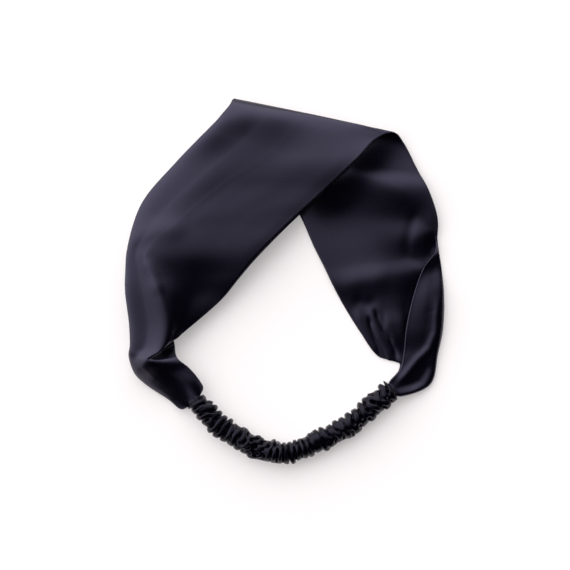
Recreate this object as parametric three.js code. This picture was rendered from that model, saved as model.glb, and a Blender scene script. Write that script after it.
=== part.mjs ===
// A wide satin headband lying on a flat surface, with its band folded over on itself.
// The band is a broad strip of doubled satin. A ruched sleeve, gathered over a hidden elastic, joins its
// two ends.
// Frame: millimetres, +Z up. The origin is under the middle of the outline, on the surface that it lies on.
// +Y runs from the sleeve at the back of the loop towards the fold in the band.

import * as THREE from "three";

// Driving sizes

const BAND_WALL = 1.5; // two layers of satin lying together
const BAND_STEPS_ALONG = 3; // facets between two sections
const BAND_STEPS_ACROSS = 3; // facets between two guide lines
const ROLL_SHARE = 0.06; // how far from f a roll is widest, as a share of the section
const MOUTH_GAP = 0.5; // between the band's gathered end and the sleeve's mouth

const SLEEVE_CREST = 6.9; // radius at the top of a gather
const SLEEVE_VALLEY = 4.4; // radius between two gathers
const SLEEVE_BORE = 3.0; // radius of the channel for the elastic
const SLEEVE_HEIGHT = 6.0; // centre line above the surface
const SLEEVE_GATHERS = 38;
const RINGS_PER_GATHER = 3;
const SLEEVE_SIDES = 12;
const BORE_RINGS = 18;
const GATHER_SWAY = 0.3; // how far a gather sways along the sleeve, as a share of the pitch
const SWAY_TURN = 0.7; // radians that the sway turns by from one gather to the next
const GATHER_UNEVENNESS = 0.28; // half the share of a gather's height that is lost at its lowest
const UNEVENNESS_TURN = 1.9; // radians that the unevenness turns by from one gather to the next
const LOBES = 2; // high places round a gather

// The sleeve's centre line in plan, from its left end to its right end.
const SLEEVE_COLUMNS = ["x", "y"];
const SLEEVE_ROWS = [
  [-51.5, -66.8],
  [-33.5, -84.5],
  [-2.5, -97.2],
  [30.5, -85.0],
  [61.8, -61.0],
];

// Sections across the band, in order from the sleeve's left end to its right end. Each section runs from
// the edge that faces down when the loop is stood up (a), over a crest or fold (f), to the opposite edge (b).
// The lifts raise the cloth halfway between a and f and halfway between f and b. The roll opens a fold at f,
// half below it and half above.
const BAND_COLUMNS = [
  "name", "ax", "ay", "az", "fx", "fy", "fz", "bx", "by", "bz", "liftA", "liftB", "roll",
];
const BAND_ROWS = [
  ["left_neck", -66.5, -67.0, 0.5, -56.5, -59.5, 10.0, -48.5, -55.5, 8.5, 1.0, 0.5, 0.0],
  ["left_lower", -78.5, -59.0, 0.0, -68.0, -52.0, 12.0, -54.0, -49.0, 9.5, 1.0, 0.0, 0.0],
  ["left_rise", -84.5, -52.5, 0.0, -74.0, -46.5, 15.5, -60.5, -43.5, 9.0, 2.0, 0.0, 0.0],
  ["left_valley", -87.5, -44.5, 0.0, -76.5, -42.5, 18.0, -66.0, -37.5, 3.0, 3.0, -1.0, 0.0],
  ["left_shelf", -86.5, -36.5, 0.0, -76.0, -36.0, 19.0, -60.5, -33.5, 12.0, 3.0, 0.0, 0.0],
  ["panel_low", -86.5, -25.0, 0.0, -74.0, -26.0, 19.0, -50.5, -27.0, 9.5, 3.0, -2.0, 0.0],
  ["panel_mid", -89.5, -5.0, 0.0, -76.0, -8.0, 17.0, -35.0, -10.0, 8.0, 3.0, -2.5, 0.0],
  ["panel_brow", -88.4, 17.5, 0.0, -70.5, 13.0, 15.0, -16.5, 12.0, 7.5, 2.5, 1.5, 0.0],
  ["panel_wide", -80.5, 43.5, 0.0, -54.0, 33.5, 11.5, 2.5, 31.5, 5.0, 2.0, 0.5, 0.0],
  ["panel_upper", -62.0, 66.0, 1.5, -31.0, 54.0, 8.5, 23.0, 50.5, 5.5, 1.0, 0.5, 0.0],
  ["panel_top", -43.0, 86.5, 3.5, -3.5, 72.0, 7.5, 41.5, 68.5, 9.0, 0.5, 0.0, 0.0],
  ["fold_top", -31.5, 99.5, 4.5, 12.5, 89.0, 8.5, 52.5, 80.0, 12.0, 0.0, 0.0, 0.0],
  ["fold_roll", -29.0, 103.3, 2.5, 17.7, 93.7, 4.5, 62.8, 83.8, 6.5, 0.0, 0.0, 0.0],
  ["fold_under", -27.5, 100.5, 0.5, 18.5, 90.0, 0.5, 67.5, 79.0, 0.5, 0.0, 0.0, 0.0],
  ["right_top", -13.0, 75.5, 0.0, 38.5, 66.0, 1.0, 76.0, 62.5, 3.0, 0.0, 0.5, 0.0],
  ["right_crest", -1.5, 55.5, 0.0, 49.0, 52.0, 4.0, 81.5, 52.5, 4.5, 0.0, 0.5, 0.0],
  ["right_trough", 8.5, 37.5, 0.0, 57.5, 37.5, 1.0, 86.4, 39.5, 1.5, 0.0, 0.0, 0.0],
  ["right_mid", 16.5, 20.0, 0.0, 66.0, 22.0, 2.5, 87.0, 26.0, 6.0, 0.5, -1.5, 0.0],
  ["right_turn", 22.5, 8.0, 0.5, 87.6, 15.5, 3.0, 85.4, 16.8, 8.0, 3.0, 0.3, 0.5],
  ["flap_start", 27.0, -1.5, 0.0, 88.6, 7.5, 3.5, 78.3, 8.0, 8.5, 2.5, 0.8, 1.2],
  ["flap_high", 32.5, -12.0, 0.0, 89.5, -7.0, 4.0, 73.6, -7.0, 8.0, 0.0, 1.5, 1.5],
  ["flap_mid", 43.0, -29.0, 0.0, 88.6, -26.8, 4.5, 68.8, -26.0, 8.5, 2.0, 2.5, 1.5],
  ["flap_low", 53.5, -43.0, 0.0, 86.4, -41.0, 5.0, 67.3, -41.0, 9.0, 0.5, 3.0, 1.5],
  ["right_neck", 64.5, -49.0, 1.0, 81.3, -56.3, 5.0, 65.2, -50.0, 10.5, 0.5, 1.5, 1.5],
];

// The band's gathered ends, placed on the sleeve's mouths: how far a, f and b lie across the mouth, towards
// the edge b, and how high above the surface. The lifts here are the valleys between the pleats.
const MOUTH_COLUMNS = [
  "aAcross", "aHeight", "fAcross", "fHeight", "bAcross", "bHeight", "liftA", "liftB", "roll",
];
const LEFT_MOUTH = [-9.0, 5.0, 0.5, 9.5, 8.5, 8.0, -2.0, -2.0, 0.0];
const RIGHT_MOUTH = [2.5, 1.5, -5.6, 5.2, 4.8, 10.0, -0.5, 1.0, 1.2];

const SATIN = new THREE.MeshStandardMaterial({ color: 0x17161d, roughness: 0.38, metalness: 0 });
const RUCHED_SATIN = new THREE.MeshStandardMaterial({ color: 0x141318, roughness: 0.45, metalness: 0 });

// Small helpers

/** A row of a table as an object with its columns' names. */
function named(columns, row) {
  return Object.fromEntries(columns.map((column, i) => [column, row[i]]));
}

/** A smooth curve through points, evenly stepped from point to point. */
function smoothCurve(points) {
  return new THREE.CatmullRomCurve3(points, false, "centripetal");
}

/** The point halfway between two points, raised by a lift. */
function raisedMiddle(start, end, lift) {
  return start.clone().lerp(end, 0.5).add(new THREE.Vector3(0, 0, lift));
}

/** The point, brought up to the surface that the headband lies on if it is below that height. */
function restedAt(point, height) {
  return point.setZ(Math.max(point.z, height));
}

/**
 * A closed skin through rings of equally many points. With no caps the last ring joins the first. With caps,
 * each end ring is closed as the edge of a flat strip, whose second half runs back along its first.
 */
function skinOf(rings, { capped }) {
  const size = rings[0].length;
  const positions = rings.flat().flatMap((point) => point.toArray());
  const triangles = [];
  const quad = (a, b, c, d) => triangles.push(a, b, c, a, c, d);
  const spans = capped ? rings.length - 1 : rings.length;
  for (let i = 0; i < spans; i++) {
    const here = i * size;
    const next = ((i + 1) % rings.length) * size;
    for (let j = 0; j < size; j++) {
      const k = (j + 1) % size;
      quad(here + j, here + k, next + k, next + j);
    }
  }
  if (capped) {
    const last = (rings.length - 1) * size;
    for (let j = 0; j < size / 2 - 1; j++) {
      const back = size - 1 - j;
      quad(j, back, back - 1, j + 1);
      quad(last + j, last + j + 1, last + back - 1, last + back);
    }
  }
  const geometry = new THREE.BufferGeometry();
  geometry.setAttribute("position", new THREE.Float32BufferAttribute(positions, 3));
  geometry.setIndex(triangles);
  geometry.computeVertexNormals();
  return geometry;
}

// Sleeve

const sleeveLine = smoothCurve(
  SLEEVE_ROWS.map((row) => {
    const { x, y } = named(SLEEVE_COLUMNS, row);
    return new THREE.Vector3(x, y, SLEEVE_HEIGHT);
  }),
);

/** The place, direction and level side direction of the sleeve's centre line, at a share of its length. */
function sleeveFrame(share) {
  const along = sleeveLine.getTangentAt(share);
  return {
    place: sleeveLine.getPointAt(share),
    along,
    side: new THREE.Vector3(-along.y, along.x, 0).normalize(),
  };
}

/** A ring of points round the sleeve's centre line, with a radius and a shift along it for each angle. */
function sleeveRing(share, radiusAt, shiftAt) {
  const { place, along, side } = sleeveFrame(share);
  const ring = [];
  for (let j = 0; j < SLEEVE_SIDES; j++) {
    const angle = (2 * Math.PI * j) / SLEEVE_SIDES;
    const point = place
      .clone()
      .addScaledVector(side, radiusAt(angle) * Math.cos(angle))
      .addScaledVector(along, shiftAt(angle));
    point.z += radiusAt(angle) * Math.sin(angle);
    ring.push(restedAt(point, 0));
  }
  return ring;
}

/** The ruched sleeve: uneven gathers outside, and a plain channel for the elastic inside. */
function ruchedSleeve() {
  const pitch = sleeveLine.getLength() / SLEEVE_GATHERS;
  const last = SLEEVE_GATHERS * RINGS_PER_GATHER;
  const rings = [];
  for (let i = 0; i <= last; i++) {
    const gather = Math.floor(i / RINGS_PER_GATHER);
    const swell = Math.sin((Math.PI * (i % RINGS_PER_GATHER)) / RINGS_PER_GATHER);
    const lobe = (angle, turn) => Math.sin(LOBES * angle + turn * gather);
    const evenness = (angle) => 1 - GATHER_UNEVENNESS * (1 + lobe(angle, UNEVENNESS_TURN));
    const radius = (angle) => SLEEVE_VALLEY + (SLEEVE_CREST - SLEEVE_VALLEY) * swell * evenness(angle);
    const atEnd = i === 0 || i === last;
    const sway = (angle) => (atEnd ? 0 : GATHER_SWAY * pitch * lobe(angle, SWAY_TURN));
    rings.push(sleeveRing(i / last, radius, sway));
  }
  for (let i = BORE_RINGS; i >= 0; i--) {
    rings.push(
      sleeveRing(
        i / BORE_RINGS,
        () => SLEEVE_BORE,
        () => 0,
      ),
    );
  }
  return skinOf(rings, { capped: false });
}

// Band

/** The guide points across a section: edge a, a lifted middle, the roll about f, a lifted middle, edge b. */
function guidePoints({ a, f, b, liftA, liftB, roll }) {
  const beforeF = raisedMiddle(a, f, liftA);
  const afterF = raisedMiddle(f, b, liftB);
  const plain = smoothCurve([a, beforeF, f, afterF, b]);
  const under = plain.getPoint(0.5 - ROLL_SHARE).add(new THREE.Vector3(0, 0, -roll));
  const over = plain.getPoint(0.5 + ROLL_SHARE).add(new THREE.Vector3(0, 0, roll));
  return [a, beforeF, under, f, over, afterF, b];
}

/** A section from a row of the band's table. */
function sectionOf(row) {
  const s = named(BAND_COLUMNS, row);
  return {
    a: new THREE.Vector3(s.ax, s.ay, s.az),
    f: new THREE.Vector3(s.fx, s.fy, s.fz),
    b: new THREE.Vector3(s.bx, s.by, s.bz),
    liftA: s.liftA,
    liftB: s.liftB,
    roll: s.roll,
  };
}

/** The gathered section at one of the sleeve's mouths. outwards is -1 at the left end and 1 at the right. */
function mouthSection(row, share, outwards) {
  const m = named(MOUTH_COLUMNS, row);
  const { place, along, side } = sleeveFrame(share);
  const at = (across, height) =>
    place
      .clone()
      .addScaledVector(along, outwards * MOUTH_GAP)
      .addScaledVector(side, across)
      .setZ(height);
  return {
    a: at(m.aAcross, m.aHeight),
    f: at(m.fAcross, m.fHeight),
    b: at(m.bAcross, m.bHeight),
    liftA: m.liftA,
    liftB: m.liftB,
    roll: m.roll,
  };
}

/** The middle surface of the band: rows of points across it, from one mouth of the sleeve to the other. */
function bandMiddle() {
  const sections = [
    mouthSection(LEFT_MOUTH, 0, -1),
    ...BAND_ROWS.map(sectionOf),
    mouthSection(RIGHT_MOUTH, 1, 1),
  ].map(guidePoints);
  const guideLines = sections[0].map((_, j) => smoothCurve(sections.map((section) => section[j])));
  const gaps = sections.length - 1;
  const stepsAlong = gaps * BAND_STEPS_ALONG;
  const stepsAcross = (guideLines.length - 1) * BAND_STEPS_ACROSS;
  const rows = [];
  for (let i = 0; i <= stepsAlong; i++) {
    const across = smoothCurve(guideLines.map((line) => line.getPoint(i / stepsAlong)));
    rows.push(across.getPoints(stepsAcross).map((point) => restedAt(point, BAND_WALL / 2)));
  }
  return rows;
}

/** The direction square to a grid of points at one of them. */
function squareTo(rows, i, j) {
  const before = rows[Math.max(i - 1, 0)][j];
  const after = rows[Math.min(i + 1, rows.length - 1)][j];
  const left = rows[i][Math.max(j - 1, 0)];
  const right = rows[i][Math.min(j + 1, rows[i].length - 1)];
  const along = after.clone().sub(before);
  const across = right.clone().sub(left);
  return across.cross(along).normalize();
}

/** The satin band: a wall of even thickness about its middle surface, flattened where it lies. */
function satinBand() {
  const middle = bandMiddle();
  const offset = (i, j, amount) =>
    restedAt(middle[i][j].clone().addScaledVector(squareTo(middle, i, j), amount), 0);
  const rings = middle.map((row, i) => {
    const outer = row.map((_, j) => offset(i, j, BAND_WALL / 2));
    const inner = row.map((_, j) => offset(i, j, -BAND_WALL / 2));
    return [...outer, ...inner.reverse()];
  });
  return skinOf(rings, { capped: true });
}

// Headband

/** A named mesh. */
function piece(name, geometry, material) {
  const mesh = new THREE.Mesh(geometry, material);
  mesh.name = name;
  return mesh;
}

const headband = new THREE.Group();
headband.add(piece("satin_band", satinBand(), SATIN));
headband.add(piece("ruched_sleeve", ruchedSleeve(), RUCHED_SATIN));

export default headband;
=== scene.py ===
"""Dresses a wide black satin headband that lies on a pale floor with its band folded over on itself.

The satin band and the ruched sleeve are cloth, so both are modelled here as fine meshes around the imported
solids, from tables of sections like theirs. Tables are in millimetres, and meshes and the camera in metres.
"""

import logging
import math
from dataclasses import dataclass
from enum import Enum
from typing import ClassVar, Iterable, NamedTuple, Sequence, Union

import bpy
import numpy as np
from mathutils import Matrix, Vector


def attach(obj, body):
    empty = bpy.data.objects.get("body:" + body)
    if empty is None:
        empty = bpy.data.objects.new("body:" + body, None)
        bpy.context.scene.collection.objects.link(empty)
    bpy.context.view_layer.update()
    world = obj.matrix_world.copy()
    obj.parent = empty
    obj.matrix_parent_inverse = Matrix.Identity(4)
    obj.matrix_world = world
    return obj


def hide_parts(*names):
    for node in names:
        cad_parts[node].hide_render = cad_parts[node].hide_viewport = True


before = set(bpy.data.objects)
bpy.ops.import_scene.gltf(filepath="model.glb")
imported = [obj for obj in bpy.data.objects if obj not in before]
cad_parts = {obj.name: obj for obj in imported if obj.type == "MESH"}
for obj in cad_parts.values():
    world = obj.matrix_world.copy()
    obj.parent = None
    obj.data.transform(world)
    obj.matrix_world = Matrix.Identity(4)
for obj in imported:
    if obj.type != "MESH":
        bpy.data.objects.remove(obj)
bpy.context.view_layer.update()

MM = 0.001
BODY = "root"
CLOTH_MAP = "cloth"
LOG = logging.getLogger("headband")

Spot = tuple[float, float]
Point = tuple[float, float, float]
Colour = tuple[float, float, float, float]
Array = np.ndarray


class Layer(Enum):
    """The layers of the folded band that can be told apart from above."""

    PANEL = "panel"
    UNDER = "under"
    FLAP = "flap"


class End(Enum):
    """The two ends of the sleeve, as shares of its length."""

    LEFT = 0.0
    RIGHT = 1.0


class Hold(Enum):
    """How a sheet of cloth is held in its shape."""

    FOLDED = "folded"
    GATHERED = "gathered"


class Section(NamedTuple):
    """A section across the band: edge a, crest or fold f, edge b, the lifts between them, the roll at f.

    Each point is x, y and a height above the floor. The hem is the height over which the cloth beyond a is
    turned down and in again under the band. The peak is how far the cloth drops on both sides of f, which
    sharpens a crest.
    """

    name: str
    a: Point
    f: Point
    b: Point
    lift_a: float = 0.0
    lift_b: float = 0.0
    roll: float = 0.0
    hem: float = 0.0
    peak: float = 0.0


class Mouth(NamedTuple):
    """A gathered end of the band: the places of a, f and b across the sleeve's mouth and above the floor."""

    a: Spot
    f: Spot
    b: Spot
    lift_a: float
    lift_b: float
    roll: float = 0.0


class Swell(NamedTuple):
    """A soft ridge or hollow in one layer: its reach to the sides, height, fade and line in plan.

    The fade is the share of the line at each end over which it dies away.
    """

    name: str
    layer: Layer
    reach: float
    height: float
    fade: float
    line: tuple[Spot, ...]


class Puff(NamedTuple):
    """A smooth pillow among the ruffles: its share of the length, angle, reach, spread and height."""

    share: float
    angle: float
    reach: float
    spread: float
    height: float


SECTIONS: tuple[Section, ...] = (
    Section(
        "left_neck", (-66.5, -67.0, 2.6), (-56.5, -59.5, 9.5), (-48.5, -55.5, 7.6),
        lift_a=1.4, lift_b=0.3, hem=2.1,
    ),
    Section(
        "left_lower", (-78.5, -59.0, 3.0), (-68.0, -52.0, 11.5), (-54.0, -49.0, 8.2),
        lift_a=1.6, lift_b=0.3, hem=2.5,
    ),
    Section(
        "left_rise", (-84.5, -52.5, 6.0), (-75.5, -45.6, 16.0), (-60.5, -43.5, 9.0),
        lift_a=1.5, hem=5.5,
    ),
    Section(
        "left_valley", (-87.5, -44.5, 7.0), (-76.5, -43.6, 16.0), (-62.5, -36.0, 1.5),
        lift_a=1.0, lift_b=-3.0, hem=6.5,
    ),
    Section(
        "left_under", (-87.6, -40.5, 9.4), (-74.5, -42.0, 15.9), (-63.5, -29.0, 5.0),
        lift_a=0.1, lift_b=-2.0, hem=8.9,
    ),
    Section("left_shelf", (-86.9, -37.0, 10.4), (-69.5, -38.6, 15.9), (-61.4, -32.2, 11.8), hem=9.9),
    Section(
        "panel_low", (-87.2, -25.0, 11.0), (-65.2, -26.0, 15.7), (-53.6, -26.3, 9.1),
        lift_a=0.3, lift_b=-0.9, hem=10.5,
    ),
    Section(
        "panel_mid", (-89.5, -5.0, 11.5), (-69.5, -7.0, 15.9), (-35.0, -10.0, 9.5),
        lift_a=0.1, lift_b=-2.5, hem=11.0, peak=0.2,
    ),
    Section(
        "panel_eave", (-89.3, 6.0, 11.4), (-74.0, 4.0, 14.95), (-25.5, 1.5, 11.8),
        lift_a=0.2, lift_b=-1.9, hem=10.9, peak=0.4,
    ),
    Section(
        "panel_brow", (-88.4, 17.5, 11.1), (-77.5, 15.0, 14.15), (-16.5, 12.0, 12.8),
        lift_a=0.1, lift_b=-0.2, hem=10.6, peak=0.1,
    ),
    Section(
        "panel_wide", (-80.5, 43.5, 8.4), (-56.0, 34.0, 12.7), (2.5, 31.5, 12.9),
        lift_a=1.05, lift_b=-0.35, hem=7.9,
    ),
    Section(
        "panel_upper", (-62.0, 66.0, 8.2), (-31.0, 54.0, 11.7), (23.0, 50.5, 12.4),
        lift_a=1.45, hem=3.8,
    ),
    Section(
        "panel_top", (-43.0, 86.5, 9.6), (-3.5, 72.0, 11.4), (41.5, 68.5, 12.2),
        lift_a=0.5, lift_b=0.1, hem=2.6,
    ),
    Section(
        "fold_top", (-31.5, 99.5, 8.6), (12.5, 89.0, 9.3), (52.5, 80.0, 8.1),
        lift_a=1.05, lift_b=0.1, hem=0.6,
    ),
    Section("fold_roll", (-29.0, 103.3, 4.5), (17.7, 93.7, 5.8), (62.8, 83.8, 6.2)),
    Section("fold_under", (-27.5, 100.5, 1.0), (18.5, 90.0, 2.5), (67.5, 79.0, 3.2), lift_b=0.4),
    Section("right_top", (-13.0, 75.5, 0.0), (38.5, 66.0, 2.6), (76.0, 62.5, 3.6)),
    Section("right_crest", (-1.5, 55.5, 0.4), (62.0, 52.2, 5.3), (81.5, 52.5, 5.0), lift_a=0.8),
    Section("right_trough", (10.3, 34.2, 0.8), (77.0, 35.3, 2.9), (86.9, 36.2, 4.0), lift_a=1.15),
    Section("right_mid", (16.5, 20.0, 1.0), (85.3, 25.6, 2.8), (87.0, 26.0, 3.1), lift_a=1.4),
    Section(
        "right_turn", (22.5, 8.0, 1.3), (87.6, 15.5, 1.6), (85.4, 16.8, 4.4),
        lift_a=2.05, lift_b=0.2, roll=0.2,
    ),
    Section("flap_start", (27.0, -1.5, 1.6), (88.9, 7.5, 1.4), (78.9, 8.0, 5.2), lift_a=2.8, roll=0.1),
    Section(
        "flap_high", (32.5, -12.0, 0.6), (90.2, -7.0, 1.9), (73.2, -7.0, 5.7),
        lift_a=2.15, lift_b=2.0, roll=1.6,
    ),
    Section(
        "flap_mid", (43.0, -29.0, 0.6), (89.8, -26.8, 1.9), (68.8, -26.0, 5.3),
        lift_a=1.3, lift_b=1.9, roll=1.9,
    ),
    Section(
        "flap_low", (53.5, -43.0, 0.5), (87.0, -41.0, 1.8), (67.3, -41.0, 4.3),
        lift_a=-0.05, lift_b=1.2, roll=1.4,
    ),
    Section(
        "right_neck", (65.5, -47.0, 0.8), (82.7, -58.5, 1.8), (65.2, -50.0, 5.0),
        lift_a=0.5, lift_b=0.7, roll=1.0,
    ),
)

MOUTHS: dict[End, Mouth] = {
    End.LEFT: Mouth((-9.0, 5.0), (0.5, 9.5), (8.5, 8.0), lift_a=-1.2, lift_b=-1.2),
    End.RIGHT: Mouth((2.5, 1.5), (-5.6, 5.2), (4.8, 7.4), lift_a=-0.5, lift_b=1.0, roll=1.2),
}

SWELLS: tuple[Swell, ...] = (
    Swell(
        "brow", Layer.PANEL, reach=6.0, height=0.8, fade=0.3,
        line=((-92.0, 20.0), (-76.0, 27.5), (-52.0, 32.0)),
    ),
    Swell(
        "bulge_crest", Layer.PANEL, reach=4.0, height=0.5, fade=0.3,
        line=((-77.5, 14.0), (-76.0, 8.0), (-73.0, 3.0), (-71.2, -2.0), (-70.6, -9.0)),
    ),
    Swell(
        "inner_edge", Layer.PANEL, reach=5.0, height=-0.25, fade=0.1,
        line=((50.0, 76.0), (2.5, 31.5), (-35.0, -10.0), (-58.0, -30.0)),
    ),
    Swell(
        "corner", Layer.PANEL, reach=9.0, height=0.5, fade=0.3,
        line=((-52.0, 76.0), (-36.0, 90.0), (-14.0, 97.0)),
    ),
    Swell(
        "bump", Layer.UNDER, reach=7.0, height=0.5, fade=0.3,
        line=((28.0, -8.0), (43.0, 0.0), (62.0, 2.0)),
    ),
    Swell(
        "under_ridge", Layer.UNDER, reach=12.0, height=4.5, fade=0.35,
        line=((62.0, 92.0), (6.0, 39.0)),
    ),
    Swell(
        "dimple", Layer.UNDER, reach=4.2, height=-1.4, fade=0.5,
        line=((86.0, 29.5), (85.5, 20.5), (85.0, 10.5)),
    ),
    Swell(
        "dimple_rim", Layer.UNDER, reach=6.0, height=0.32, fade=0.15,
        line=((93.0, 47.0), (85.0, 38.0), (79.0, 30.0), (75.5, 21.0), (77.0, 15.0), (83.0, 11.0)),
    ),
    Swell(
        "dimple_rim_foot", Layer.UNDER, reach=2.8, height=-0.35, fade=0.2,
        line=((75.5, 43.0), (71.3, 28.5), (69.6, 21.0), (70.3, 15.0), (75.5, 10.0), (80.0, 5.0)),
    ),
    Swell(
        "flap_shade", Layer.UNDER, reach=3.0, height=-0.2, fade=0.3,
        line=((82.0, 12.0), (72.5, -6.0), (69.5, -16.0), (68.0, -28.0)),
    ),
    Swell(
        "flap_head", Layer.FLAP, reach=6.0, height=0.7, fade=0.4,
        line=((77.0, 14.0), (79.0, 2.0), (83.0, -7.0), (87.0, -15.0), (88.0, -26.0)),
    ),
    Swell(
        "flap_ridge", Layer.FLAP, reach=2.4, height=0.8, fade=0.2,
        line=((87.4, -6.0), (86.2, -29.0), (82.3, -38.1), (75.6, -44.9), (60.0, -63.5)),
    ),
    Swell(
        "lobe_groove", Layer.FLAP, reach=3.0, height=-0.6, fade=0.25,
        line=((83.0, -44.0), (80.0, -51.0), (77.0, -56.5), (72.0, -59.5), (66.0, -60.0)),
    ),
    Swell(
        "pleat_near", Layer.UNDER, reach=2.4, height=0.5, fade=0.25,
        line=((39.5, -14.5), (42.5, -21.5), (46.5, -30.0), (51.0, -38.5), (54.0, -45.0)),
    ),
    Swell(
        "pleat_mid", Layer.UNDER, reach=2.2, height=0.5, fade=0.25,
        line=((47.5, -14.0), (50.2, -21.0), (53.3, -28.0), (56.8, -34.5), (60.5, -42.0), (63.0, -48.0)),
    ),
    Swell(
        "pleat_far", Layer.UNDER, reach=6.0, height=0.55, fade=0.25,
        line=((56.0, -24.5), (70.0, -23.0)),
    ),
    Swell(
        "pleat_fill", Layer.UNDER, reach=6.0, height=0.45, fade=0.25,
        line=((60.0, -33.5), (70.0, -31.0)),
    ),
    Swell(
        "pleat_valley", Layer.UNDER, reach=3.6, height=-0.4, fade=0.35,
        line=((37.0, -10.5), (46.0, -13.0), (55.0, -11.5)),
    ),
    Swell(
        "crease_near", Layer.UNDER, reach=1.4, height=-0.9, fade=0.2,
        line=((47.5, -19.0), (49.4, -26.5), (52.0, -33.0), (55.0, -39.0), (58.0, -46.0)),
    ),
    Swell(
        "crease_far", Layer.UNDER, reach=1.4, height=-0.9, fade=0.2,
        line=((50.5, -14.5), (53.2, -21.5), (56.4, -28.0), (59.8, -33.0), (62.5, -38.5), (65.0, -46.0)),
    ),
)

SLEEVE_HEIGHT = 6.0
SLEEVE_LINE: tuple[Spot, ...] = (
    (-51.5, -66.8),
    (-33.5, -84.5),
    (-2.5, -97.2),
    (30.5, -85.0),
    (61.8, -61.0),
)

PUFFS: tuple[Puff, ...] = (
    Puff(share=0.05, angle=1.5, reach=2.4, spread=0.7, height=0.2),
    Puff(share=0.22, angle=1.1, reach=2.2, spread=0.5, height=-0.2),
    Puff(share=0.61, angle=0.9, reach=3.2, spread=0.6, height=0.2),
    Puff(share=0.72, angle=0.9, reach=4.2, spread=0.65, height=0.6),
)


class Smooth:
    """Centripetal Catmull-Rom curves, many side by side, through the same number of points."""

    SHORTEST = 1e-4

    def __init__(self, knots: Array) -> None:
        """Keeps the knots, of shape (points, curves, 3)."""
        self.knots = knots

    def at(self, places: Array) -> Array:
        """Points on the curves.

        Args:
            places: places along the curves, in knots from the first.

        Returns:
            The points, of shape (places, curves, 3).
        """
        knots = self.knots
        first = 2 * knots[:1] - knots[1:2]
        last = 2 * knots[-1:] - knots[-2:-1]
        padded = np.concatenate([first, knots, last])
        span = np.clip(np.floor(places).astype(int), 0, len(knots) - 2)
        share = (places - span)[:, None, None]
        p0, p1, p2, p3 = (padded[span + i] for i in range(4))
        d0, d1, d2 = (self._gap(q - p) for p, q in ((p0, p1), (p1, p2), (p2, p3)))
        leave = ((p1 - p0) / d0 - (p2 - p0) / (d0 + d1) + (p2 - p1) / d1) * d1
        arrive = ((p2 - p1) / d1 - (p3 - p1) / (d1 + d2) + (p3 - p2) / d2) * d1
        square = -3 * p1 + 3 * p2 - 2 * leave - arrive
        cube = 2 * p1 - 2 * p2 + leave + arrive
        return p1 + share * (leave + share * (square + share * cube))

    @classmethod
    def _gap(cls, step: Array) -> Array:
        """The centripetal length of a step: the square root of its length."""
        return np.maximum(np.sqrt(np.linalg.norm(step, axis=-1, keepdims=True)), cls.SHORTEST)


class Drift:
    """Seeded smooth noise over two directions, both of which wrap round."""

    def __init__(self, seed: int, rows: int, columns: int) -> None:
        """Draws a lattice of random values from -1 to 1."""
        self.values = np.random.default_rng(seed).uniform(-1, 1, (rows, columns))

    def at(self, along: Array, around: Array) -> Array:
        """The noise at places in lattice steps.

        Args:
            along: places along the lattice's rows.
            around: places along its columns.

        Returns:
            The noise, from -1 to 1.
        """
        rows, columns = self.values.shape
        total = np.zeros(np.broadcast(along, around).shape)
        i, j = np.floor(along).astype(int), np.floor(around).astype(int)
        x, y = along - i, around - j
        for di, wx in ((0, 1 - self._ease(x)), (1, self._ease(x))):
            for dj, wy in ((0, 1 - self._ease(y)), (1, self._ease(y))):
                total += self.values[(i + di) % rows, (j + dj) % columns] * wx * wy
        return total

    @staticmethod
    def _ease(x: Array) -> Array:
        """A smooth step from 0 to 1."""
        return x * x * x * (x * (6 * x - 15) + 10)


class Wrinkles:
    """Seeded ridges that meander, split and merge on a closed lattice, by the Swift-Hohenberg equation."""

    FIRST_HEIGHT = 0.3
    TALL_SHARE = 0.97

    def __init__(self, seed: int, shape: tuple[int, int], steps: Spot) -> None:
        """Sets out the lattice.

        Args:
            seed: the seed of the first small bumps.
            shape: the lattice's rows along the cloth and columns round it.
            steps: the lattice's steps in both directions, in ridges.
        """
        along = 2 * math.pi * np.fft.fftfreq(shape[0], 2 * math.pi * steps[0])
        around = 2 * math.pi * np.fft.fftfreq(shape[1], 2 * math.pi * steps[1])
        self.along, self.around = along[:, None] ** 2, around[None] ** 2
        self.bumps = np.random.default_rng(seed).normal(0, self.FIRST_HEIGHT, shape)

    def grown(self, rounds: int, drive: float, order: float, pace: float = 0.5) -> Array:
        """Grows the ridges.

        Args:
            rounds: the rounds of growth; few leave many splits and merges.
            drive: how strongly ridges grow.
            order: how strongly ridges are held across the cloth's length.
            pace: the time that passes in a round.

        Returns:
            The ridges' height at the lattice's points, from about -1 to 1.
        """
        growth = drive - (1 - self.along - self.around) ** 2 - order * self.around
        height = self.bumps
        for _ in range(rounds):
            turned = (np.fft.fft2(height) - pace * np.fft.fft2(height**3)) / (1 - pace * growth)
            height = np.fft.ifft2(turned).real
        return height / np.quantile(np.abs(height), self.TALL_SHARE)


def smooth_step(low: float, high: float, x: Array) -> Array:
    """Rises smoothly from 0 at low to 1 at high."""
    t = np.clip((x - low) / (high - low), 0, 1)
    return t * t * (3 - 2 * t)


def divided(counts: Iterable[int]) -> Array:
    """Places in spans that are each divided into their own count of steps, with the end of the last span."""
    spans = [i + np.arange(n) / n for i, n in enumerate(counts)]
    return np.concatenate([*spans, [float(len(spans))]])


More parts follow.
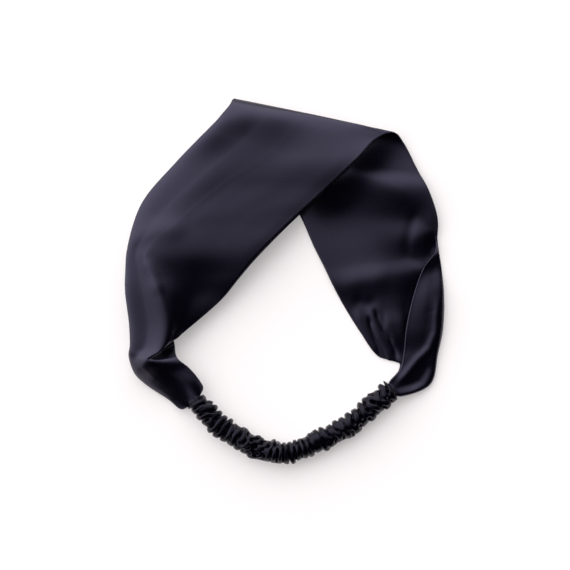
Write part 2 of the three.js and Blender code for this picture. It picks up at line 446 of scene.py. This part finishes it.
def ridge(points: Array, line: Sequence[Spot], reach: float, fade: float) -> Array:
    """A soft ridge along a bent line in plan.

    Args:
        points: the points in plan, of shape (..., 2).
        line: the line that the crest follows.
        reach: how far the ridge reaches to the sides.
        fade: the share of the line at each end over which the ridge dies away.

    Returns:
        The ridge's height at the points, up to 1.
    """
    corners = np.array(line)
    steps = np.diff(corners, axis=0)
    lengths = np.linalg.norm(steps, axis=1)
    nearest, walked = np.full(points.shape[:-1], np.inf), np.zeros(points.shape[:-1])
    for start, step, length, before in zip(corners, steps, lengths, np.cumsum(lengths) - lengths):
        share = np.clip(((points - start) @ step) / length**2, 0, 1)
        gap = np.linalg.norm(points - start - share[..., None] * step, axis=-1)
        walked = np.where(gap < nearest, before + share * length, walked)
        nearest = np.minimum(nearest, gap)
    walked /= lengths.sum()
    ends = smooth_step(0, fade, walked) * smooth_step(0, fade, 1 - walked)
    return ends * np.exp(-((nearest / reach) ** 2))


def square_to(grid: Array, shortest: float = 1e-9) -> Array:
    """The unit directions square to a grid of points.

    Args:
        grid: the points, of shape (rows, columns, 3).
        shortest: the least length by which a direction is divided.

    Returns:
        The directions, of the grid's shape.
    """
    along, across = np.gradient(grid, axis=0), np.gradient(grid, axis=1)
    normal = np.cross(across, along)
    return normal / np.maximum(np.linalg.norm(normal, axis=-1, keepdims=True), shortest)


def running_length(grid: Array, axis: int) -> Array:
    """The length walked along one axis of a grid of points.

    Args:
        grid: the points, of shape (rows, columns, 3).
        axis: the axis that is walked.

    Returns:
        The length from the axis's start to each point.
    """
    steps = np.linalg.norm(np.diff(grid, axis=axis), axis=-1)
    zero = np.zeros_like(np.take(steps, [0], axis=axis))
    return np.cumsum(np.concatenate([zero, steps], axis=axis), axis=axis)


def running_sum(rate: Array, run: Array) -> Array:
    """The sum of a rate over a length, from its start, by the trapezium rule."""
    steps = np.diff(run, axis=0) * (rate[1:] + rate[:-1]) / 2
    return np.concatenate([np.zeros((1, 1)), np.cumsum(steps, axis=0)])


def ring_mesh(name: str, rings: Array, uv: Array, capped: bool) -> bpy.types.Object:
    """A closed skin through rings of equally many points, with a UV map in metres.

    Args:
        name: the object's name.
        rings: points in millimetres, of shape (rings, points, 3).
        uv: the points' places on the flat cloth in millimetres, of shape (rings, points + 1, 2).
        capped: closes each end ring as the edge of a flat strip; otherwise the last ring joins the first.

    Returns:
        The smooth-shaded object, linked to the scene.
    """
    count, size = rings.shape[:2]
    spans = count - 1 if capped else count
    i, j = np.meshgrid(np.arange(spans), np.arange(size), indexing="ij")
    k, n = (j + 1) % size, (i + 1) % count
    quads = np.stack([i * size + j, i * size + k, n * size + k, n * size + j], -1).reshape(-1, 4)
    corners = [(i, j), (i, j + 1), (i + 1, j + 1), (i + 1, j)]
    if not capped:
        uv = np.concatenate([uv, uv[:1]])
    corner_uv = np.stack([uv[a, b] for a, b in corners], -2).reshape(-1, 2)
    if capped:
        half = np.arange(size // 2 - 1)
        back = size - 1 - half
        last = (count - 1) * size
        start = np.stack([half, back, back - 1, half + 1], -1)
        end = np.stack([last + half, last + half + 1, last + back - 1, last + back], -1)
        caps = np.concatenate([start, end])
        quads = np.concatenate([quads, caps])
        corner_uv = np.concatenate([corner_uv, np.zeros((caps.size, 2))])
    mesh = bpy.data.meshes.new(name)
    mesh.from_pydata((rings.reshape(-1, 3) * MM).tolist(), [], quads.tolist())
    mesh.uv_layers.new(name=CLOTH_MAP).data.foreach_set("uv", (corner_uv * MM).ravel())
    mesh.validate()
    mesh.polygons.foreach_set("use_smooth", np.ones(len(mesh.polygons), dtype=bool))
    piece = bpy.data.objects.new(name, mesh)
    bpy.context.scene.collection.objects.link(piece)
    return piece


Operand = Union["Value", float]


class Value:
    """A number that varies over a surface: a shader socket that takes part in Python sums."""

    def __init__(self, board: "Board", socket: bpy.types.NodeSocket) -> None:
        """Wraps a socket of a node on the board."""
        self.board = board
        self.socket = socket

    def _sum(self, operation: str, left: Operand, right: Operand) -> "Value":
        """A Math node's result."""
        return self.board.node("ShaderNodeMath", {"operation": operation}, {0: left, 1: right})["Value"]

    def __add__(self, other: Operand) -> "Value":
        """self + other."""
        return self._sum("ADD", self, other)

    __radd__ = __add__

    def __mul__(self, other: Operand) -> "Value":
        """self * other."""
        return self._sum("MULTIPLY", self, other)

    __rmul__ = __mul__

    def __sub__(self, other: Operand) -> "Value":
        """self - other."""
        return self._sum("SUBTRACT", self, other)

    def __rsub__(self, other: Operand) -> "Value":
        """other - self."""
        return self._sum("SUBTRACT", other, self)


class Outputs:
    """A node's output sockets by name."""

    def __init__(self, board: "Board", node: bpy.types.Node) -> None:
        """Keeps the node and its board."""
        self.board = board
        self.node = node

    def __getitem__(self, name: str) -> Value:
        """The output of that name."""
        return Value(self.board, self.node.outputs[name])


class Board:
    """The node tree of a material or a world, to which nodes are added one call each."""

    MIXED_COLOUR = 2

    def __init__(self, owner: Union[bpy.types.Material, bpy.types.World]) -> None:
        """Clears the owner's tree down to an output node.

        Args:
            owner: the material or world.
        """
        owner.use_nodes = True
        self.owner = owner
        self.tree = owner.node_tree
        self.tree.nodes.clear()
        kind = "World" if isinstance(owner, bpy.types.World) else "Material"
        self.output = self.tree.nodes.new(f"ShaderNodeOutput{kind}")

    def node(self, kind: str, settings: dict, sockets: dict) -> Outputs:
        """Adds a node.

        Args:
            kind: the node's type.
            settings: its properties, which are set first.
            sockets: constants or Values for its inputs, by name or number.

        Returns:
            The node's outputs.
        """
        made = self.tree.nodes.new(kind)
        for key, value in settings.items():
            setattr(made, key, value)
        for key, value in sockets.items():
            if isinstance(value, Value):
                self.tree.links.new(value.socket, made.inputs[key])
            else:
                made.inputs[key].default_value = value
        return Outputs(self, made)

    def mix(self, share: Value, first: Colour, second: Colour) -> Value:
        """A colour between two, taken by its number because other outputs have the same name."""
        made = self.node("ShaderNodeMix", {"data_type": "RGBA"}, {"Factor": share, "A": first, "B": second})
        return Value(self, made.node.outputs[self.MIXED_COLOUR])

    def finish(self, shader: Value) -> Union[bpy.types.Material, bpy.types.World]:
        """Joins the shader to the output and returns the tree's owner."""
        self.tree.links.new(shader.socket, self.output.inputs["Surface"])
        return self.owner


@dataclass(frozen=True)
class SatinFinish:
    """Black satin: long glossy floats over a fine weave, on the cloth's own UV map in metres."""

    NOISE_MIDDLE: ClassVar[float] = 0.5

    name: str
    base: Colour = (0.0005, 0.0003, 0.0018, 1.0)
    base_worn: Colour = (0.0008, 0.0005, 0.0026, 1.0)
    # Painted light colour: the blue cast of the reflections stands in for a cool light, while the lamps here
    # are neutral.
    tint: Colour = (0.70, 0.65, 1.0, 1.0)
    ior: float = 1.5
    roughness: float = 0.27
    roughness_spread: float = 0.06
    float_wide: float = 0.16 * MM
    float_long: float = 2.6 * MM
    float_detail: float = 2.0
    float_weight: float = 0.6
    cloud: float = 14.0 * MM
    cloud_detail: float = 3.0
    cloud_weight: float = 0.4
    weave_height: float = 0.012 * MM
    weave_strength: float = 0.5

    def material(self) -> bpy.types.Material:
        """Builds the satin's shader.

        Returns:
            The material, for a mesh with the cloth's UV map.
        """
        board = Board(bpy.data.materials.new(self.name))
        cloth = board.node("ShaderNodeUVMap", {"uv_map": CLOTH_MAP}, {})["UV"]
        stretch = (1 / self.float_wide, 1 / self.float_long, 1.0)
        floats = self._noise(board, cloth, stretch, self.float_detail)
        clouds = self._noise(board, cloth, (1 / self.cloud,) * 3, self.cloud_detail)
        wear = floats * self.float_weight + clouds * self.cloud_weight
        roughness = self.roughness
        for pattern in (clouds, floats):
            roughness = roughness + (pattern - self.NOISE_MIDDLE) * self.roughness_spread
        bump = board.node(
            "ShaderNodeBump",
            {},
            {"Strength": self.weave_strength, "Distance": self.weave_height, "Height": floats},
        )
        shader = board.node(
            "ShaderNodeBsdfPrincipled",
            {},
            {
                "Base Color": board.mix(wear, self.base, self.base_worn),
                "Roughness": roughness,
                "IOR": self.ior,
                "Specular Tint": self.tint,
                "Normal": bump["Normal"],
            },
        )
        return board.finish(shader["BSDF"])

    @staticmethod
    def _noise(board: Board, cloth: Value, scale: Point, detail: float) -> Value:
        """Noise stretched over the cloth by a scale along each direction."""
        place = board.node("ShaderNodeMapping", {}, {"Vector": cloth, "Scale": scale})["Vector"]
        return board.node("ShaderNodeTexNoise", {}, {"Vector": place, "Scale": 1.0, "Detail": detail})["Fac"]


@dataclass(frozen=True)
class FloorFinish:
    """A pale floor with a trace of unevenness, lit a little from below like a photographer's table."""

    name: str = "pale_floor"
    pale: Colour = (0.675, 0.638, 0.643, 1.0)
    dim: Colour = (0.665, 0.628, 0.633, 1.0)
    roughness: float = 0.85
    shine: float = 0.2
    grain: float = 30.0
    glow: Colour = (1.0, 0.965, 0.97, 1.0)
    glow_strength: float = 0.35

    def material(self) -> bpy.types.Material:
        """Builds the floor's shader.

        Returns:
            The material.
        """
        board = Board(bpy.data.materials.new(self.name))
        place = board.node("ShaderNodeTexCoord", {}, {})["Object"]
        noise = board.node("ShaderNodeTexNoise", {}, {"Vector": place, "Scale": self.grain})["Fac"]
        shader = board.node(
            "ShaderNodeBsdfPrincipled",
            {},
            {
                "Base Color": board.mix(noise, self.pale, self.dim),
                "Roughness": self.roughness,
                "Specular IOR Level": self.shine,
                "Emission Color": self.glow,
                "Emission Strength": self.glow_strength,
            },
        )
        return board.finish(shader["BSDF"])


class SleevePath:
    """The sleeve's centre line over the floor, with its directions, by share of its length."""

    FINE = 400

    def __init__(self, points: Sequence[Spot], height: float) -> None:
        """Walks the curve in fine steps.

        Args:
            points: the points in plan that the line runs through.
            height: the line's height above the floor.
        """
        knots = np.array([(x, y, height) for x, y in points])[:, None]
        self.places = Smooth(knots).at(np.linspace(0, len(points) - 1, self.FINE))[:, 0]
        self.run = running_length(self.places[None], 1)[0]
        self.length = float(self.run[-1])

    def at(self, shares: Array) -> tuple[Array, Array, Array]:
        """The line's places and directions.

        Args:
            shares: shares of the length; past the ends the line runs straight on.

        Returns:
            Places, directions along the line and level directions to its side.
        """
        want = np.asarray(shares) * self.length
        inside = np.clip(want, 0, self.length)
        place = np.stack([np.interp(inside, self.run, self.places[:, k]) for k in range(3)], -1)
        tangent = np.gradient(self.places, self.run, axis=0)
        along = np.stack([np.interp(inside, self.run, tangent[:, k]) for k in range(3)], -1)
        along /= np.linalg.norm(along, axis=-1, keepdims=True)
        place = place + along * (want - inside)[..., None]
        side = np.stack([-along[..., 1], along[..., 0], np.zeros(along.shape[:-1])], -1)
        return place, along, side


@dataclass
class SatinBand:
    """The broad band: a tube of satin lying double, folded over at the top and gathered at its ends.

    Its guide rows start with the tuck and the mouth of the left end. The fold line is the number of f among
    the guide points of a row.
    """

    END_ROWS: ClassVar[int] = 2
    FOLD_LINE: ClassVar[int] = 4

    path: SleevePath
    finish: SatinFinish
    name: str = "band_cloth"
    wall: float = 0.9
    edge_swell: float = 0.08
    edge_reach: float = 1.0
    edge_round: float = 0.45
    roll_share: float = 0.06
    hem_share: float = 0.15
    hem_full: float = 4.0
    hem_lean: float = 0.5
    mouth_gap: float = 0.5
    tuck_radius: float = 3.6
    tuck_depth: float = 1.2
    row_step: float = 2.2
    fine_step: float = 0.9
    fine_from: str = "right_turn"
    rows_between: tuple[int, int] = (6, 22)
    columns_per_span: tuple[int, ...] = (6, 56, 26, 8, 8, 18, 20)
    under_from: str = "fold_roll"
    under_blend: float = 0.5
    flap_from: str = "right_turn"
    flap_blend: float = 1.0
    flap_edge: float = 0.2
    cut_width: float = 73.0
    cut_length: float = 375.0
    drift_seed: int = 7
    drift_lattice: tuple[int, int] = (40, 40)
    drift_height: float = 0.18
    drift_pitch: float = 22.0

    def guides(self) -> Array:
        """The guide points of every section.

        Returns:
            The points from one tucked end to the other, of shape (rows, lines, 3).
        """
        left, right = self._mouth(End.LEFT), self._mouth(End.RIGHT)
        plain = [self._guide_row(section) for section in SECTIONS]
        return np.array([self._tuck(End.LEFT, left), left, *plain, right, self._tuck(End.RIGHT, right)])

    def _guide_row(self, section: Section) -> Array:
        """Guide points across a section.

        Args:
            section: the section.

        Returns:
            The hem, edge a, a lifted middle, the roll about f in three points, a lifted middle and edge b.
        """
        a, f, b = (np.array(p, float) for p in (section.a, section.f, section.b))
        up = np.array([0.0, 0.0, 1.0])
        before, after = (a + f) / 2 + section.lift_a * up, (f + b) / 2 + section.lift_b * up
        plain = np.array([a, before, f, after, b])
        spans = len(plain) - 1
        reach = spans * self.roll_share
        under, over = Smooth(plain[:, None]).at(np.array([spans / 2 - reach, spans / 2 + reach]))[:, 0]
        inwards = (f - a) * (1, 1, 0)
        inwards /= np.linalg.norm(inwards)
        below = a + section.hem * (self.hem_lean * inwards - up)
        turn = a + (before - a) * self.hem_share * max(0.0, 1 - section.hem / self.hem_full)
        under, over = under - (section.roll + section.peak) * up, over + (section.roll - section.peak) * up
        return np.array([below, turn, before, under, f, over, after, b])

    def _mouth(self, end: End) -> Array:
        """The guide points of a gathered end, just outside the sleeve's mouth.

        Args:
            end: the sleeve's end.

        Returns:
            The points, in a section's order.
        """
        mouth = MOUTHS[end]
        place, along, side = (v[0] for v in self.path.at(np.array([end.value])))
        level = place + self._outwards(end) * self.mouth_gap * along
        spots = [(*(level + side * across)[:2], height) for across, height in (mouth.a, mouth.f, mouth.b)]
        return self._guide_row(Section(end.name, *spots, mouth.lift_a, mouth.lift_b, mouth.roll))

    def _tuck(self, end: End, mouth: Array) -> Array:
        """The guide points of the seam inside the sleeve's mouth, drawn in from the gathered end.

        Args:
            end: the sleeve's end.
            mouth: the guide points of the gathered end.

        Returns:
            The points, in a section's order.
        """
        place, along, _ = (v[0] for v in self.path.at(np.array([end.value])))
        spokes = mouth - place
        spokes -= (spokes @ along)[:, None] * along
        spokes *= self.tuck_radius / np.linalg.norm(spokes, axis=1, keepdims=True)
        return place - self._outwards(end) * self.tuck_depth * along + spokes

    @staticmethod
    def _outwards(end: End) -> float:
        """The sense of the sleeve's direction that leads out of it at an end."""
        return 1.0 if end is End.RIGHT else -1.0

    def _row(self, section: str) -> int:
        """The guide row of a named section, which comes after the tuck and the mouth of the left end."""
        return [s.name for s in SECTIONS].index(section) + self.END_ROWS

    def middle(self) -> tuple[Array, Array, Array]:
        """The band's middle surface.

        Returns:
            The grid of points, and each point's place along the sections and across the guide lines.
        """
        guides = self.guides()
        gaps = np.linalg.norm(np.diff(guides, axis=0), axis=-1).max(axis=1)
        steps = np.where(np.arange(len(gaps)) < self._row(self.fine_from), self.row_step, self.fine_step)
        u = divided(np.clip(np.round(gaps / steps), *self.rows_between).astype(int))
        v = divided(self.columns_per_span)
        along = Smooth(guides).at(u)
        grid = Smooth(along.transpose(1, 0, 2)).at(v).transpose(1, 0, 2)
        return grid, u, v

    def shaped(self) -> Array:
        """The middle surface with its swells, hollows and drift, resting on the floor.

        Returns:
            The grid of points.
        """
        grid, u, v = self.middle()
        weights = self._layers(u, v)
        lift = np.zeros(grid.shape[:2])
        for swell in SWELLS:
            shape = ridge(grid[..., :2], swell.line, swell.reach, swell.fade)
            lift += swell.height * shape * weights[swell.layer]
        run = self._middle_run(grid) / self.drift_pitch
        width = running_length(grid, 1) / self.drift_pitch
        lift += self.drift_height * Drift(self.drift_seed, *self.drift_lattice).at(run, width)
        grid[..., 2] = np.maximum(grid[..., 2] + lift, self.wall / 2)
        return grid

    @staticmethod
    def _middle_run(grid: Array) -> Array:
        """The length along the grid's middle column, as a column."""
        return running_length(grid, 0)[:, [grid.shape[1] // 2]]

    def _layers(self, u: Array, v: Array) -> dict[Layer, Array]:
        """How far each point belongs to each layer.

        Args:
            u: the points' places along the sections.
            v: their places across the guide lines.

        Returns:
            Weights from 0 to 1 for each layer.
        """
        fold, turn = self._row(self.under_from), self._row(self.flap_from)
        under = smooth_step(fold - self.under_blend, fold + self.under_blend, u)[:, None] * np.ones_like(v)
        past_fold = smooth_step(self.FOLD_LINE - self.flap_edge, self.FOLD_LINE + self.flap_edge, v)
        flap = smooth_step(turn - self.flap_blend, turn, u)[:, None] * past_fold
        return {Layer.PANEL: 1 - under, Layer.UNDER: under * (1 - flap), Layer.FLAP: flap}

    def build(self) -> bpy.types.Object:
        """Builds the band as a closed wall with rolled edges.

        Returns:
            The object.
        """
        grid = self.shaped()
        normal = square_to(grid)
        width = running_length(grid, 1)
        from_edge = np.minimum(width, width[:, -1:] - width)
        half = self.wall / 2 + self.edge_swell * np.exp(-((from_edge / self.edge_reach) ** 2))
        half *= np.sqrt(np.clip(1 - (1 - np.minimum(from_edge / self.edge_round, 1)) ** 2, 0, 1))
        outer, inner = grid + normal * half[..., None], grid - normal * half[..., None]
        rings = np.concatenate([outer, inner[:, -2:0:-1]], axis=1)
        rings[..., 2] = np.maximum(rings[..., 2], 0.0)
        share = width / width[:, -1:] * self.cut_width
        flat = np.stack(np.broadcast_arrays(share, self._middle_run(grid)), -1)
        uv = np.concatenate([flat, flat[:, -2::-1]], axis=1)
        return ring_mesh(self.name, rings, uv, capped=True)

    def dress(self) -> bpy.types.Object:
        """Returns:
            The object.
        """
        piece = self.build()
        piece.data.materials.append(self.finish.material())
        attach(piece, BODY)
        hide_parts("satin_band")
        return piece


@dataclass
class RuchedSleeve:
    """The gathered sleeve: satin ruffles of uneven pitch and lean over a plain channel for the elastic.

    The pitches are pairs of a share of the length and the ruffles' pitch there.
    """

    path: SleevePath
    finish: SatinFinish
    name: str = "sleeve_cloth"
    valley: float = 3.5
    ruffle: float = 3.0
    roundness: float = 2.6
    wall: float = 0.7
    bore: float = 2.6
    end_radius: float = 3.6
    end_reach: float = 2.0
    pitches: tuple[Spot, ...] = (
        (0.0, 4.6), (0.15, 4.4), (0.35, 3.5), (0.52, 3.2), (0.62, 4.2), (0.78, 4.8), (1.0, 4.2),
    )
    pitch_samples: int = 2000
    rings_per_ridge: int = 17
    sides: int = 96
    ridges_around: float = 8.0
    wrinkle_seed: int = 5
    rounds: int = 34
    drive: float = 0.5
    order: float = 0.11
    unevenness: float = 0.34
    uneven_seed: int = 11
    uneven_lattice: tuple[int, int] = (64, 4)
    uneven_pitch: float = 5.0
    cut_width: float = 40.0
    gather: float = 1.7

    def build(self) -> bpy.types.Object:
        """Builds the ruffled wall: its skin, and its inside round the open channel.

        Returns:
            The object. Its inside has half as many rings as its skin.
        """
        share = self._ring_places()
        angle = np.linspace(0, 2 * math.pi, self.sides, endpoint=False)[None]
        radius = self._ruffles(share, angle)
        skin = self._around(share, angle, radius)
        back = slice(None, None, -2)
        inside = self._around(share, angle, np.maximum(radius - self.wall, self.bore))[back]
        skin[..., 2] = np.maximum(skin[..., 2], 0.0)
        inside[..., 2] = np.maximum(inside[..., 2], self.wall)
        rings = np.concatenate([skin, inside])
        run = np.concatenate([share, share[back]])[:, 0] * self.path.length * self.gather
        girth = np.linspace(0, self.cut_width, self.sides + 1)
        uv = np.stack(np.broadcast_arrays(girth[None], run[:, None]), -1)
        return ring_mesh(self.name, rings, uv, capped=False)

    def _ring_places(self) -> Array:
        """Where the rings stand: equally many to a ruffle, wide or narrow.

        Returns:
            The rings' shares of the length, as a column.
        """
        share = np.linspace(0, 1, self.pitch_samples)[:, None]
        places, pitches = zip(*self.pitches)
        count = running_sum(1 / np.interp(share, places, pitches), share * self.path.length)[:, 0]
        rings = round(count[-1] * self.rings_per_ridge)
        return np.interp(np.linspace(0, count[-1], rings), count, share[:, 0])[:, None]

    def _ruffles(self, share: Array, angle: Array) -> Array:
        """The skin's radius.

        Args:
            share: the rings' shares of the sleeve's length, as a column.
            angle: angles round it, as a row. A quarter turn is straight up.

        Returns:
            The radius at each share and angle.
        """
        run, turn = share * self.path.length, angle / (2 * math.pi)
        steps = (1 / self.rings_per_ridge, self.ridges_around / self.sides)
        lattice = Wrinkles(self.wrinkle_seed, (len(share), self.sides), steps)
        crease = np.clip(0.5 - 0.5 * lattice.grown(self.rounds, self.drive, self.order), 0, 1)
        crown = (1 - crease**self.roundness) ** (1 / self.roundness)
        uneven = Drift(self.uneven_seed, *self.uneven_lattice)
        swing = uneven.at(run / self.uneven_pitch, turn * self.uneven_lattice[1])
        radius = self.valley + self.ruffle * (1 + self.unevenness * swing) * crown
        for puff in PUFFS:
            near = ((share - puff.share) * self.path.length / puff.reach) ** 2
            gap = np.angle(np.exp(1j * (angle - puff.angle)))
            smooth = self.valley + self.ruffle + puff.height
            radius = radius + (smooth - radius) * np.exp(-near - (gap / puff.spread) ** 2)
        from_end = np.minimum(share, 1 - share) * self.path.length
        return self.end_radius + (radius - self.end_radius) * smooth_step(0, self.end_reach, from_end)

    def _around(self, share: Array, angle: Array, radius: Array) -> Array:
        """Points round the sleeve's centre line.

        Args:
            share: the rings' shares of the sleeve's length, as a column.
            angle: angles round it, as a row.
            radius: the radius at each share and angle.

        Returns:
            The points, of shape (rings, sides, 3).
        """
        place, _, side = (v[:, None] for v in self.path.at(share[:, 0]))
        points = place + side * (radius * np.cos(angle))[..., None]
        points[..., 2] += radius * np.sin(angle)
        return points

    def dress(self) -> bpy.types.Object:
        """Returns:
            The object.
        """
        piece = self.build()
        piece.data.materials.append(self.finish.material())
        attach(piece, BODY)
        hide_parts("ruched_sleeve")
        return piece


@dataclass
class Studio:
    """The pale floor, the surroundings that light it from one side and the camera that looks straight down.

    The sky edge is the cosine to the bright side at which the surroundings turn dark, and that at which they
    reach their full brightness.
    """

    camera_height: float = 1.0
    camera_sees: float = 20.0
    frame_wide: float = 0.3249
    centre: Spot = (0.000285, -0.00228)
    sensor: float = 36.0
    floor_wide: float = 6.0
    bright_side: Point = (-0.55, 0.835, 0.0)
    sky_bright: Colour = (2.95, 2.95, 2.95, 1.0)
    sky_dark: Colour = (0.012, 0.012, 0.012, 1.0)
    sky_edge: Spot = (-0.26, 0.70)

    def floor(self) -> None:
        """Adds the floor."""
        bpy.ops.object.select_all(action="DESELECT")
        bpy.ops.mesh.primitive_plane_add(size=self.floor_wide, location=(0, 0, 0))
        floor = bpy.context.object
        floor.name = "floor"
        floor.data.materials.append(FloorFinish().material())

    def camera(self) -> None:
        """Adds the camera, looking straight down with +Y up in the picture."""
        lens = bpy.data.cameras.new("camera")
        lens.sensor_width = self.sensor
        lens.lens = self.sensor * self.camera_height / self.frame_wide
        lens.clip_end = self.camera_sees
        camera = bpy.data.objects.new("camera", lens)
        camera.location = (*self.centre, self.camera_height)
        bpy.context.scene.collection.objects.link(camera)
        bpy.context.scene.camera = camera

    def light(self) -> None:
        """Adds the surroundings, bright on one side and dark on the other."""
        board = Board(bpy.data.worlds.new("surroundings"))
        way = board.node("ShaderNodeTexCoord", {}, {})["Generated"]
        side = Vector(self.bright_side).normalized()
        facing = board.node("ShaderNodeVectorMath", {"operation": "DOT_PRODUCT"}, {0: way, 1: side})["Value"]
        low, high = self.sky_edge
        share = board.node(
            "ShaderNodeMapRange",
            {"interpolation_type": "SMOOTHSTEP"},
            {"Value": facing, "From Min": low, "From Max": high},
        )["Result"]
        sky = board.mix(share, self.sky_dark, self.sky_bright)
        scene = bpy.context.scene
        scene.world = board.finish(board.node("ShaderNodeBackground", {}, {"Color": sky})["Background"])
        scene.view_settings.view_transform = "Standard"
        scene.view_settings.look = "None"


def main() -> None:
    """Builds the headband's pieces and the studio, in order."""
    logging.basicConfig(level=logging.INFO, format="%(name)s: %(message)s")
    path = SleevePath(SLEEVE_LINE, SLEEVE_HEIGHT)
    satin = SatinFinish("black_satin")
    # The sleeve's satin is a darker copy of the band's: the tint of its reflections is cut to about two
    # fifths. This is painted shade, standing in for the shadow the ruffles cast on each other, and it keeps
    # the band's painted cool blue cast.
    ruched = SatinFinish("black_satin_shaded_in_gathers", roughness=0.26, tint=(0.28, 0.258, 0.355, 1.0))
    for piece in (SatinBand(path, satin), RuchedSleeve(path, ruched)):
        made = piece.dress()
        LOG.info("%s: %d faces", made.name, len(made.data.polygons))
    studio = Studio()
    studio.floor()
    studio.camera()
    studio.light()


if __name__ == "__main__":
    main()
